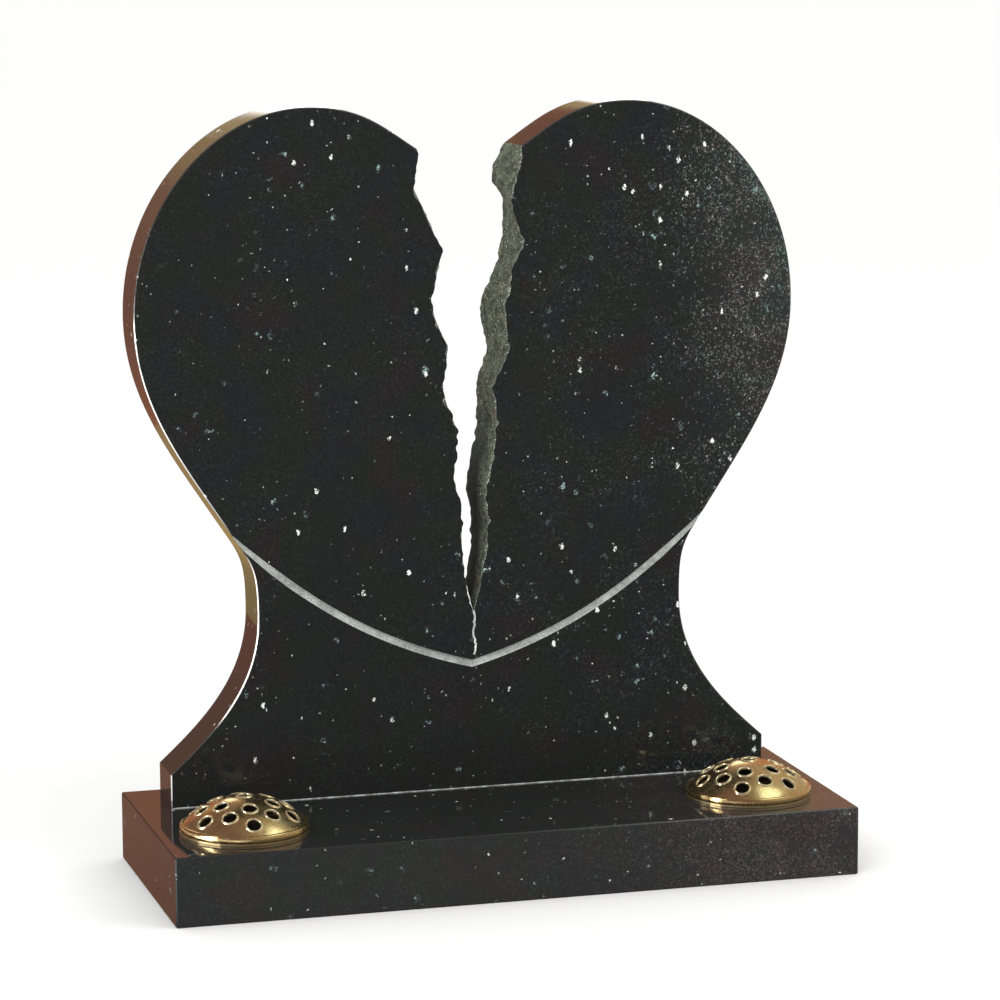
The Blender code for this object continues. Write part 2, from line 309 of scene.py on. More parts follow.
def makeGraniteGroup():
    # The second input draws flecks and a painted sheen, the light the crystals catch, to the stone's right
    # side and upper right edge; the third paints a warm reflection onto a base's right end; Lift lightens the
    # ground.
    outputs = {"Colour": "NodeSocketColor", "Fleck": "NodeSocketFloat", "Height": "NodeSocketFloat"}
    inputs = {"Flecks": 1.0, "RightSheen": 1.0, "EndReflection": 0.0, "Lift": 1.0}
    group, given, result = startGroup("graniteGrain", inputs, outputs)
    place = objectPlace(group)
    moved = place
    for scale, reach in ((300.0, 0.0044), (1050.0, 0.0030)):      # two shakes make ragged crystals
        moved = shakePlace(group, place, moved, scale, reach)

    # where flecks sit: drifting clouds of grain, made thicker towards the right as a painted sheen
    parts = addNode(group, "ShaderNodeSeparateXYZ", {0: place})
    towardsRight = stepBetween(group, parts.outputs["X"], -0.12, 0.34)
    drift = stepBetween(group, grainNoise(group, place, 12.0, 3.0, 0.6), 0.36, 0.64)
    sheenLean = maths(group, "MULTIPLY", towardsRight, given.outputs["RightSheen"])
    cloud = maths(group, "MULTIPLY", drift, maths(group, "MULTIPLY_ADD", sheenLean, 0.80, 0.20))
    # a painted sheen along the stone's upper right edge
    edge = maths(group, "MULTIPLY", stepBetween(group, parts.outputs["X"], 0.21, 0.375),
                 stepBetween(group, parts.outputs["Z"], 0.30, 0.66))
    edge = maths(group, "MULTIPLY", edge, given.outputs["RightSheen"])
    # a painted warm reflection towards a base's right end
    paintedReflection = maths(group, "MULTIPLY", stepBetween(group, parts.outputs["X"], 0.02, 0.36),
                  given.outputs["EndReflection"])

    # ground
    mottle = grainNoise(group, place, 17.0, 2.0)
    ground = blendColours(group, stepBetween(group, mottle, 0.40, 0.62),
                          granite["greenBlack"], granite["blueBlack"])
    plum = grainNoise(group, addNode(group, "ShaderNodeVectorMath", {0: place, 1: (0.7, 0.3, 0.2)},
                                     operation="ADD").outputs[0], 14.0, 2.0)
    ground = blendColours(group, stepBetween(group, plum, 0.50, 0.70), ground, granite["plumBlack"])
    _, pick, tone, spread = crystalCells(group, moved, granite["mosaicScale"])
    level = maths(group, "MULTIPLY_ADD", pick, 0.50, 0.75)
    level = maths(group, "MULTIPLY", level, given.outputs["Lift"])
    colour = scaleColour(group, ground, level)

    # dim single crystals; then crystals with a painted sheen along the stone's right edge, and with a painted
    # warm reflection on the base's right end
    dim = stepBetween(group, tone, 0.84, 1.0, 0.0, 0.8)
    dim = maths(group, "MULTIPLY", dim, maths(group, "MULTIPLY_ADD", cloud, 0.62, 0.12))
    colour = blendColours(group, dim, colour, granite["teal"])
    patchy = maths(group, "MULTIPLY_ADD", drift, 0.24, 0.05)
    strength = maths(group, "MULTIPLY_ADD", pick, 0.62, 0.42)
    region = stepBetween(group, grainNoise(group, place, 21.0, 2.0, 0.6), 0.42, 0.60, -0.35, 0.35)
    for share, first, second in ((edge, "paintedSheen", "paintedSeaSheen"), (paintedReflection, "paintedReflection", "dusk")):
        sheenCrystal = maths(group, "GREATER_THAN", maths(group, "MULTIPLY", share, patchy), spread)
        mixed = stepBetween(group, maths(group, "ADD", tone, region), 0.45, 0.70)
        tint = blendColours(group, mixed, granite[first], granite[second])
        colour = blendColours(group, maths(group, "MULTIPLY", share, 0.055), colour, tint)
        colour = blendColours(group, maths(group, "MULTIPLY", sheenCrystal, strength), colour, tint)

    # clusters of broken blue-green glints
    pulled = shakePlace(group, place, moved, 120.0, 0.013)
    distance, pick, size, tone = crystalCells(group, pulled, granite["clusterScale"])
    chance = maths(group, "MULTIPLY_ADD", cloud, 0.46, 0.05)
    there = maths(group, "GREATER_THAN", chance, pick)
    ringRadius = maths(group, "MULTIPLY_ADD", size, 0.22, 0.06)
    outline = maths(group, "ABSOLUTE", maths(group, "SUBTRACT", distance, ringRadius))
    inside = maths(group, "MAXIMUM", stepBetween(group, outline, 0.055, 0.02),
                   stepBetween(group, distance, 0.30, 0.05, 0.0, 0.35))
    speckle = stepBetween(group, grainNoise(group, place, 430.0, 2.0, 0.8), 0.47, 0.56)
    cluster = maths(group, "MULTIPLY", maths(group, "MULTIPLY", there, inside), speckle)
    bright = maths(group, "MULTIPLY_ADD", maths(group, "MULTIPLY", tone, tone), 0.95, 0.16)
    cluster = maths(group, "MULTIPLY", cluster, bright, clamp=True)
    colour = blendColours(group, cluster, colour, granite["glint"])

    # large ragged silver flecks, longer than wide: real crystals, their near-white colour partly a painted
    # glint
    far = addNode(group, "ShaderNodeVectorMath", {0: moved, 1: (1.30, 1.0, 0.78), 2: (0.31, 0.17, 0.23)},
                  operation="MULTIPLY_ADD")
    distance, pick, size, tone = crystalCells(group, far.outputs[0], granite["bigFleckScale"])
    chance = maths(group, "MULTIPLY_ADD", cloud, 0.095, 0.052)
    chance = maths(group, "MULTIPLY", chance, given.outputs["Flecks"])
    there = maths(group, "GREATER_THAN", chance, pick)
    reach = maths(group, "MULTIPLY_ADD", size, 0.12, 0.10)
    inside = stepBetween(group, maths(group, "DIVIDE", distance, reach), 1.10, 0.90)
    broken = stepBetween(group, grainNoise(group, place, 380.0, 2.0, 0.75), 0.40, 0.47)
    bigFleck = maths(group, "MULTIPLY", maths(group, "MULTIPLY", there, inside), broken)
    bigFleck = maths(group, "MULTIPLY", bigFleck, maths(group, "MULTIPLY_ADD", tone, 0.45, 0.62), clamp=True)

    # small silver flecks, their near-white colour also partly a painted glint
    distance, pick, size, tone = crystalCells(group, moved, granite["fleckScale"])
    chance = maths(group, "MULTIPLY_ADD", maths(group, "ADD", cloud, edge), 0.105, 0.052)
    chance = maths(group, "MULTIPLY", chance, given.outputs["Flecks"])
    there = maths(group, "GREATER_THAN", chance, pick)
    reach = maths(group, "MULTIPLY_ADD", maths(group, "MULTIPLY", size, size), 0.26, 0.11)
    inside = stepBetween(group, maths(group, "DIVIDE", distance, reach), 1.15, 0.85)
    bright = maths(group, "MULTIPLY_ADD", maths(group, "MULTIPLY", tone, tone), 0.88, 0.12)
    smallFleck = maths(group, "MULTIPLY", maths(group, "MULTIPLY", there, inside), bright)
    fleck = maths(group, "MAXIMUM", bigFleck, smallFleck, clamp=True)
    colour = blendColours(group, fleck, colour, granite["silver"])
    pits = grainNoise(group, moved, 900.0, 2.0, 0.6)
    group.links.new(colour, result.inputs["Colour"])
    group.links.new(fleck, result.inputs["Fleck"])
    group.links.new(pits, result.inputs["Height"])
    return group


def polishedGranite(name, group, look, polish, bump, ior):
    material, tree, shader = startMaterial(name, (0.020, 0.024, 0.024), IOR=ior)
    grain = addNode(tree, "ShaderNodeGroup", node_tree=group)
    for label, value in look.items():
        grain.inputs[label].default_value = value
    place = objectPlace(tree)
    smear = grainNoise(tree, place, 9.0, 3.0, 0.6)
    rough = maths(tree, "MULTIPLY_ADD", stepBetween(tree, smear, 0.35, 0.7), polish * 0.5, polish)
    rough = maths(tree, "MULTIPLY_ADD", grain.outputs["Fleck"], 0.16, rough)
    feedShader(tree, shader, grain.outputs["Colour"], rough, grain.outputs["Height"], bump, 0.0003)
    return material


# Torn stone and cut lines

tornStone = {
    "olive": (0.126, 0.144, 0.100),
    "drab": (0.070, 0.078, 0.058),
    "rust": (0.150, 0.092, 0.070),
    "spark": (0.70, 0.74, 0.56),
    # painted shade deep in the break, and painted light on the lip beside the face
    "deep": (0.032, 0.038, 0.032),
    "lip": (0.120, 0.150, 0.125),
    "grainScale": 620.0,
    "front": 0.0571,
}


def makeTornMaterial():
    material, tree, shader = startMaterial("tornGranite", tornStone["olive"], IOR=1.5)
    shader.inputs["Specular IOR Level"].default_value = 0.25
    place = objectPlace(tree)
    patch = grainNoise(tree, place, 75.0, 3.0, 0.6)
    colour = blendColours(tree, stepBetween(tree, patch, 0.38, 0.62), tornStone["drab"], tornStone["olive"])
    warm = grainNoise(tree, place, 31.0, 3.0, 0.65)
    colour = blendColours(tree, stepBetween(tree, warm, 0.56, 0.74, 0.0, 0.7), colour, tornStone["rust"])
    distance, pick, size, _ = crystalCells(tree, place, tornStone["grainScale"])
    level = maths(tree, "MULTIPLY_ADD", pick, 1.15, 0.40)
    colour = scaleColour(tree, colour, level)
    # low in the break the inner part is painted dark as shade, and a paler lip beside the face is painted
    # light, the part of the wall that light reaches
    parts = addNode(tree, "ShaderNodeSeparateXYZ", {0: place})
    uneven = maths(tree, "MULTIPLY_ADD", patch, 0.012, parts.outputs["Y"])
    inner = stepBetween(tree, uneven, tornStone["front"] + 0.022, tornStone["front"] + 0.040)
    low = stepBetween(tree, parts.outputs["Z"], 0.53, 0.42)
    paintedShade = maths(tree, "MULTIPLY", inner, low)
    colour = blendColours(tree, maths(tree, "MULTIPLY", paintedShade, 0.92), colour, tornStone["deep"])
    lip = stepBetween(tree, parts.outputs["Y"], tornStone["front"] + 0.0045, tornStone["front"] + 0.0005)
    colour = blendColours(tree, maths(tree, "MULTIPLY", lip, 0.6), colour, tornStone["lip"])
    # sparks crowd the painted light of the lip and fade in the painted shade
    chosen = maths(tree, "GREATER_THAN", size, maths(tree, "MULTIPLY_ADD", lip, -0.30, 0.91))
    spark = maths(tree, "MULTIPLY", chosen, stepBetween(tree, distance, 0.55, 0.30))
    outOfShade = maths(tree, "MULTIPLY_ADD", paintedShade, -0.8, 0.85)
    spark = maths(tree, "MULTIPLY", spark, outOfShade)
    colour = blendColours(tree, spark, colour, tornStone["spark"])
    rough = maths(tree, "MULTIPLY_ADD", spark, -0.45, 0.85)
    height = maths(tree, "MULTIPLY_ADD", pick, 0.25, grainNoise(tree, place, 190.0, 4.0, 0.65))
    feedShader(tree, shader, colour, rough, height, 0.75, 0.0022)
    return material


def makeCutLineMaterial(name, brightness):
    material, tree, shader = startMaterial(name, (0.40, 0.42, 0.38), IOR=1.45)
    place = objectPlace(tree)
    _, pick, size, tone = crystalCells(tree, place, 900.0)
    streak = grainNoise(tree, place, 60.0, 3.0, 0.6)
    level = maths(tree, "MULTIPLY_ADD", pick, 0.55 * brightness, 0.62 * brightness)
    level = maths(tree, "MULTIPLY", level, stepBetween(tree, streak, 0.3, 0.7, 0.72, 1.08))
    base = blendColours(tree, tone, (0.40, 0.44, 0.41), (0.47, 0.49, 0.46))
    rough = maths(tree, "MULTIPLY_ADD", size, 0.2, 0.65)
    feedShader(tree, shader, scaleColour(tree, base, level), rough, pick, 0.5, 0.0003)
    return material


# Metal

def makeGiltMaterial(name, light, deep, metallic):
    material, tree, shader = startMaterial(name, light, Metallic=metallic)
    place = objectPlace(tree)
    cloud = grainNoise(tree, place, 55.0, 3.0, 0.6)
    colour = blendColours(tree, stepBetween(tree, cloud, 0.35, 0.68), light, deep)
    speck = stepBetween(tree, grainNoise(tree, place, 620.0, 2.0, 0.7), 0.62, 0.76, 0.0, 0.35)
    colour = blendColours(tree, speck, colour, (0.42, 0.28, 0.15))
    rough = stepBetween(tree, grainNoise(tree, place, 150.0, 4.0, 0.65), 0.3, 0.72, 0.15, 0.27)
    rough = maths(tree, "MULTIPLY_ADD", speck, 0.4, rough)
    ripple = grainNoise(tree, place, 380.0, 3.0, 0.6)
    feedShader(tree, shader, colour, rough, ripple, 0.16, 0.0006)
    return material


def makeUndersideMaterial():
    # the lids' insides, painted near black as shade, since little light gets under a lid; dull, with blotches
    material, tree, shader = startMaterial("paintedShadeUnderside", (0.030, 0.026, 0.020), Metallic=0.0)
    shader.inputs["Specular IOR Level"].default_value = 0.12
    place = objectPlace(tree)
    underMottle = grainNoise(tree, place, 70.0, 3.0, 0.6)
    colour = blendColours(tree, stepBetween(tree, underMottle, 0.35, 0.68),
                          (0.030, 0.027, 0.022), (0.100, 0.085, 0.060))
    rough = stepBetween(tree, underMottle, 0.3, 0.7, 0.55, 0.8)
    feedShader(tree, shader, colour, rough, underMottle, 0.3, 0.0004)
    return material


def makeContainerMaterial(mouth):
    # satin spun aluminium outside, painted dark as shade inside the cup and where the lid covers it, and gilt
    # on the flange's rim, which shows below the lid
    material, tree, shader = startMaterial("spunAluminium", (0.62, 0.60, 0.56), Metallic=1.0)
    place = objectPlace(tree)
    parts = addNode(tree, "ShaderNodeSeparateXYZ", {0: place})
    across = maths(tree, "SUBTRACT", maths(tree, "ABSOLUTE", parts.outputs["X"]), mouth["centreX"])
    ahead = maths(tree, "SUBTRACT", parts.outputs["Y"], mouth["centreY"])
    radius = maths(tree, "SQRT", maths(tree, "ADD", maths(tree, "MULTIPLY", across, across),
                                       maths(tree, "MULTIPLY", ahead, ahead)))
    cup = stepBetween(tree, radius, mouth["cupRadius"] + 0.0002, mouth["cupRadius"] - 0.0002)
    above = stepBetween(tree, parts.outputs["Z"], mouth["flangeTop"] - 0.0006, mouth["flangeTop"] - 0.0002)
    covered = stepBetween(tree, radius, mouth["ridgeRadius"] + 0.0009, mouth["ridgeRadius"] + 0.0001)
    inside = maths(tree, "MAXIMUM", cup, maths(tree, "MULTIPLY", above, covered))
    lip = stepBetween(tree, radius, mouth["lip"] - 0.0015, mouth["lip"])
    stretched = addNode(tree, "ShaderNodeVectorMath", {0: place, 1: (6.0, 6.0, 1500.0)},
                        operation="MULTIPLY").outputs[0]
    lines = grainNoise(tree, stretched, 1.0, 2.0, 0.6)
    blotch = stepBetween(tree, grainNoise(tree, place, 40.0, 3.0, 0.6), 0.4, 0.7)
    colour = blendColours(tree, blotch, (0.66, 0.64, 0.60), (0.48, 0.46, 0.43))
    paintedShadeInside = blendColours(tree, blotch, (0.22, 0.19, 0.14), (0.13, 0.11, 0.08))
    gilt = blendColours(tree, blotch, (0.90, 0.74, 0.42), (0.80, 0.62, 0.32))
    # painted shade inside the cup and under the lid
    colour = blendColours(tree, inside, colour, paintedShadeInside)
    colour = blendColours(tree, lip, colour, gilt)
    rough = stepBetween(tree, lines, 0.3, 0.7, 0.28, 0.42)
    rough = maths(tree, "MULTIPLY_ADD", inside, 0.3, rough)
    feedShader(tree, shader, colour, rough, lines, 0.25, 0.0003)
    return material


def makeSealantMaterial():
    material, tree, shader = startMaterial("paleSealant", (0.45, 0.46, 0.44), IOR=1.45)
    place = objectPlace(tree)
    patch = grainNoise(tree, place, 120.0, 3.0, 0.6)
    colour = blendColours(tree, stepBetween(tree, patch, 0.35, 0.65), (0.22, 0.22, 0.21), (0.58, 0.60, 0.57))
    rough = stepBetween(tree, patch, 0.3, 0.7, 0.4, 0.7)
    feedShader(tree, shader, colour, rough, patch, 0.3, 0.0004)
    return material


graniteGroup = makeGraniteGroup()
stonePolish = polishedGranite("polishedHeadstone", graniteGroup,
                              {"Flecks": 1.0, "RightSheen": 1.0}, 0.030, 0.02, 1.42)
stoneFace = polishedGranite("polishedFace", graniteGroup,
                            {"Flecks": 1.0, "RightSheen": 1.0, "Lift": 0.90}, 0.030, 0.02, 1.27)
stoneArris = polishedGranite("honedArris", graniteGroup,
                             {"Flecks": 1.0, "RightSheen": 0.3, "Lift": 2.2}, 0.10, 0.05, 1.9)
stoneArris.node_tree.nodes["Principled BSDF"].inputs["Specular IOR Level"].default_value = 0.9
basePolish = polishedGranite("polishedBase", graniteGroup,
                             {"Flecks": 0.45, "RightSheen": 0.35, "EndReflection": 1.0, "Lift": 1.08}, 0.035, 0.02, 1.45)
tornFace = makeTornMaterial()
frostedCut = makeCutLineMaterial("frostedCut", 0.92)
freshCut = makeCutLineMaterial("freshCut", 1.9)
giltLid = makeGiltMaterial("giltLid", (0.83, 0.65, 0.33), (0.75, 0.55, 0.27), 1.0)
# the rims' gilt is paler and partly diffuse: a painted highlight, standing in for the light the rolled rims
# catch
highlightGilt = makeGiltMaterial("highlightGilt", (0.96, 0.86, 0.58), (0.88, 0.72, 0.42), 0.86)
lidUnderside = makeUndersideMaterial()
paleSealant = makeSealantMaterial()
print("materials made")


# Headstone: one slab, its open break and its cut lines

stone = {
    "front": 0.0571, "thickness": 0.065, "foot": 0.0763, "height": 0.764, "arris": 0.0012,
    "footWidth": 0.686, "footHeight": 0.038, "waistWidth": 0.486, "waistHeight": 0.207,
    "neckWidth": 0.561, "neckHeight": 0.315, "heartWidth": 0.749, "heartWidthHeight": 0.539,
    "lobeSpread": 0.362, "notchHeight": 0.682, "neckLean": 33.2, "footFall": 41.9,
    "notchRise": 25.9, "curveSteps": 44,
}

breakShape = {
    "mouth": 0.117, "top": 0.716, "foot": 0.200, "step": 0.0022, "roughness": 0.0019,
    # share of the way up, then left front, left back, right front and right back edges
    # as shares of the mouth
    "edges": (
        (0.000, 0.017, 0.017, 0.017, 0.017), (0.060, -0.043, -0.030, 0.086, 0.100),
        (0.125, -0.090, -0.060, 0.128, 0.130), (0.195, -0.080, -0.100, 0.171, 0.137),
        (0.250, -0.128, -0.090, 0.128, 0.100), (0.290, -0.180, -0.120, 0.145, 0.111),
        (0.353, -0.130, -0.150, 0.222, 0.180), (0.407, -0.145, -0.100, 0.256, 0.196),
        (0.484, -0.265, -0.190, 0.205, 0.214), (0.540, -0.230, -0.200, 0.325, 0.291),
        (0.576, -0.214, -0.160, 0.363, 0.300), (0.640, -0.342, -0.230, 0.346, 0.250),
        (0.674, -0.376, -0.300, 0.329, 0.282), (0.735, -0.316, -0.280, 0.410, 0.400),
        (0.781, -0.265, -0.240, 0.496, 0.450), (0.843, -0.393, -0.300, 0.470, 0.484),
        (0.882, -0.470, -0.370, 0.410, 0.470), (0.915, -0.538, -0.420, 0.427, 0.375),
        (0.955, -0.508, -0.450, 0.496, 0.390), (1.000, -0.487, -0.430, 0.513, 0.500),
    ),
}

cutLines = {
    "heartWidth": 0.0056, "heartDepth": 0.0018, "tipHeight": 0.142, "endHeight": 0.295,
    "tipRise": 14.5, "endRise": 43.0, "overrun": 0.02,
    "hairWidth": 0.0016, "hairDepth": 0.0010, "hairFoot": 0.152,
    "hairTurns": ((-0.645, -0.049), (-0.16, -0.001), (0.00, 0.014), (0.21, 0.030), (0.53, 0.012),
                  (0.75, 0.037), (1.00, 0.022)),
}


def stoneSide():
    # Half the outline from the notch to the foot: five smooth curves and a short upright.
    down = -math.pi / 2
    steps = stone["curveSteps"]
    notch = (0.0, stone["notchHeight"])
    lobeTop = (stone["lobeSpread"] / 2, stone["height"])
    widest = (stone["heartWidth"] / 2, stone["heartWidthHeight"])
    neck = (stone["neckWidth"] / 2, stone["neckHeight"])
    waist = (stone["waistWidth"] / 2, stone["waistHeight"])
    shoulder = (stone["footWidth"] / 2, stone["footHeight"])
    leaning = down - math.radians(stone["neckLean"])
    rise = math.radians(stone["notchRise"])
    fall = -math.radians(stone["footFall"])
    curves = (
        curveBetween(notch, rise, lobeTop, 0.0, (0.493, 0.413), steps),
        curveBetween(lobeTop, 0.0, widest, down, (0.356, 0.410), steps),
        curveBetween(widest, down, neck, leaning, (0.362, 0.364), steps),
        curveBetween(neck, leaning, waist, down, (0.515, 0.519), steps),
        curveBetween(waist, down, shoulder, fall, (0.402, 0.307), steps),
    )
    points = [curves[0]] + [curve[1:] for curve in curves[1:]]
    points.append(np.array(((stone["footWidth"] / 2, 0.0),)))
    return np.concatenate(points) + np.array((0.0, stone["foot"]))


def makeSlab(side):
    # The outline carried through the slab's thickness, with the arris taken off at 45 degrees.
    mirrored = side[:0:-1] * np.array((-1.0, 1.0))
    outline = np.concatenate((side, mirrored))
    front, back, arris = stone["front"], stone["front"] + stone["thickness"], stone["arris"]
    section = ((-arris, front), (0.0, front + arris), (0.0, back - arris), (-arris, back))
    inwards = [(-offset, depth) for offset, depth in section]
    clockwise = carrySection(outline, section, True)
    other = carrySection(outline, inwards, True)
    widths = [abs(grid[..., 0]).max() for grid in (clockwise, other)]
    grid = clockwise if widths[0] <= widths[1] else other
    rows, columns = grid.shape[:2]
    faces = gridFaces(rows, columns, True, False)
    kinds = np.tile((1, 0, 1), rows)
    caps = (np.arange(rows) * columns, np.arange(rows) * columns + columns - 1)
    kinds = np.concatenate((kinds, (2, 2)))
    return buildSolid("headstoneSlab", grid, faces, caps, (stonePolish, stoneArris, stoneFace), kinds)


def makeBreakCutter():
    # Two torn walls from front to back, straight between the edges, moved by coarse, middle
    # and fine noise that dies out where the break closes, and chipped back at both faces.
    overrun = 0.012
    front, thickness = stone["front"], stone["thickness"]
    foot = stone["foot"] + breakShape["foot"]
    top = stone["foot"] + stone["height"] + overrun
    run = breakShape["top"] - breakShape["foot"]
    rows = int((top - foot) / breakShape["step"]) + 1
    columns = int(thickness / breakShape["step"]) + 1
    z = np.linspace(foot, top, rows)
    y = np.concatenate(((front - overrun,), np.linspace(front, front + thickness, columns),
                        (front + thickness + overrun,)))
    edges = np.array(breakShape["edges"])
    share = (z - foot) / run
    lines = [breakShape["mouth"] * np.interp(share, edges[:, 0], edges[:, i]) for i in (1, 2, 3, 4)]
    through = np.clip((y - front) / thickness, 0.0, 1.0)[None, :]
    left = lines[0][:, None] + (lines[1] - lines[0])[:, None] * through
    right = lines[2][:, None] + (lines[3] - lines[2])[:, None] * through
    calm = np.clip((right - left) / 0.030, 0.0, 1.0)
    depth, height = np.meshgrid(y, z)
    inFromFace = np.minimum(np.abs(depth - front), np.abs(depth - front - thickness))
    inFromFace = np.where((depth < front) | (depth > front + thickness), 0.0, inFromFace)
    walls = []
    for wall, way, seed in ((left, -1.0, 3), (right, 1.0, 11)):
        flat = np.full_like(depth, 0.5)
        coarse = latticeNoise(np.stack((flat, depth / 0.026, height / 0.030), axis=-1), seed)
        middle = latticeNoise(np.stack((flat, depth / 0.009, height / 0.010), axis=-1), seed + 1)
        fine = latticeNoise(np.stack((flat, depth / 0.0042, height / 0.0045), axis=-1), seed + 2)
        nick = latticeNoise(np.stack((flat, depth / 0.030, height / 0.0065), axis=-1), seed + 3)
        step = breakShape["roughness"] * (1.1 * coarse + 0.95 * middle + 0.45 * fine)
        chip = way * 0.0034 * np.clip(nick + 0.25, 0.0, 1.0) * np.exp(-inFromFace / 0.0026)
        walls.append(wall + calm * (step + chip))
    left, right = walls
    right = np.maximum(right, left)
    leftGrid = np.stack((left, depth, height), axis=-1)
    rightGrid = np.stack((right, depth, height), axis=-1)[:, ::-1]
    grid = np.concatenate((leftGrid, rightGrid), axis=1)
    grid[0, y.size:] = grid[0, y.size - 1::-1]      # the walls meet in one line at the foot
    faces = gridFaces(rows, 2 * y.size, False, True)
    cap = (rows - 1) * 2 * y.size + np.arange(2 * y.size)
    return buildSolid("breakCutter", grid, faces, (cap,), (tornFace,))


def lineCutter(name, path, width, depth, flat, material, ends=1.0):
    # A flat-bottomed V section carried along the line, standing a little out of the face. Its
    # width falls to the share "ends" over the last tenth at either end.
    lift = 0.003
    wide = width / 2 * (1.0 + lift / depth)
    front = stone["front"]
    section = ((wide, front - lift), (width * flat, front + depth),
               (-width * flat, front + depth), (-wide, front - lift))
    grid = carrySection(path, section, False)
    along = np.linspace(0.0, 1.0, len(path))
    full = np.clip(np.minimum(along, 1.0 - along) / 0.10, 0.0, 1.0)
    share = (ends + (1.0 - ends) * full)[:, None]
    grid[..., 0] = path[:, None, 0] + (grid[..., 0] - path[:, None, 0]) * share
    grid[..., 2] = path[:, None, 1] + (grid[..., 2] - path[:, None, 1]) * share
    rows, columns = grid.shape[:2]
    caps = (np.arange(columns), (rows - 1) * columns + np.arange(columns))
    return buildSolid(name, grid, gridFaces(rows, columns, False, True), caps, (material,))


def heartLinePath(side):
    # One curve from the tip to the outline and a little past it, and its mirror image.
    endZ = stone["foot"] + cutLines["endHeight"]
    lower = side[side[:, 1] < stone["foot"] + stone["heartWidthHeight"] - 0.05]
    endX = np.interp(endZ, lower[::-1, 1], lower[::-1, 0])
    rise = math.radians(cutLines["endRise"])
    tip = (0.0, stone["foot"] + cutLines["tipHeight"])
    arm = curveBetween(tip, math.radians(cutLines["tipRise"]), (endX, endZ), rise, (0.36, 0.36), 60)
    past = arm[-1] + np.array((math.cos(rise), math.sin(rise))) * cutLines["overrun"]
    arm = np.concatenate((arm, past[None, :]))
    return np.concatenate((arm[:0:-1] * np.array((-1.0, 1.0)), arm))


def hairlinePath():
    # The turns of the hairline, with small zigzags from noise between them.
    turns = np.array(cutLines["hairTurns"])
    share = np.linspace(turns[0, 0], turns[-1, 0], 40)
    across = breakShape["mouth"] * np.interp(share, turns[:, 0], turns[:, 1])
    across += 0.0011 * latticeNoise(np.stack((share * 17.0, share * 0, share * 0), axis=-1), 5)
    run = breakShape["foot"] - cutLines["hairFoot"]
    return np.stack((across, stone["foot"] + breakShape["foot"] - run * share), axis=1)


def makeHeadstone():
    side = stoneSide()
    slab = makeSlab(side)
    cutters = [makeBreakCutter(),
               lineCutter("heartLineCutter", heartLinePath(side), cutLines["heartWidth"],
                          cutLines["heartDepth"], 0.34, frostedCut, 0.5),
               lineCutter("hairlineCutter", hairlinePath(), cutLines["hairWidth"],
                          cutLines["hairDepth"], 0.20, freshCut)]
    cutAway(slab, cutters)
    shadeBy(slab, 20.0)
    names = [material.name for material in slab.data.materials]
    kinds = np.zeros(len(slab.data.polygons), dtype=np.int32)
    slab.data.polygons.foreach_get("material_index", kinds)
    smooth = kinds != names.index("tornGranite")
    slab.data.polygons.foreach_set("use_smooth", smooth)
    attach(slab, "root")
    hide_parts("headstone")
    return slab


headstone = makeHeadstone()
print("headstone made:", len(headstone.data.polygons), "faces")


# Pale line of sealant round the stone's foot

joint = {"radius": 0.0008, "sides": 8, "steps": 60, "endInset": 0.0004, "faceInset": 0.0003, "endShare": 0.45}


def makeJoint():
    # A round section carried along the foot's rectangle, in the corner between stone and base.
    halfWidth = stone["footWidth"] / 2 - joint["endInset"]
    front = stone["front"] + joint["faceInset"]
    back = stone["front"] + stone["thickness"] - joint["faceInset"]
    corners = np.array(((-halfWidth, front), (halfWidth, front), (halfWidth, back), (-halfWidth, back)))
    share = np.linspace(0, 1, joint["steps"] + 1)[:-1, None]
    path = np.concatenate([corners[i] + (corners[(i + 1) % 4] - corners[i]) * share for i in range(4)])
    turn = np.linspace(0.0, 2 * math.pi, joint["sides"], endpoint=False)
    waver = latticeNoise(np.stack((path[:, 0] * 90, path[:, 1] * 90, path[:, 0] * 0), axis=-1), 8)
    atEnd = np.abs(path[:, 0]) > halfWidth - 0.001
    thin = np.where(atEnd, joint["endShare"], 1.0)
    radius = (joint["radius"] * thin * (1.0 + 0.18 * waver))[:, None]
    side = sideways(path, True)
    flat = path[:, None, :] + side[:, None, :] * (radius * np.cos(turn)[None, :])[..., None]
    height = stone["foot"] + radius * np.sin(turn)[None, :]
    grid = np.concatenate((flat, height[..., None]), axis=-1)
    made = buildSolid("beddingJoint", grid, gridFaces(len(path), joint["sides"], True, True),
                      materials=(paleSealant,))
    shadeBy(made, 60.0)
    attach(made, "root")


makeJoint()
print("joint made")


# Domed lids with rolled stem holes

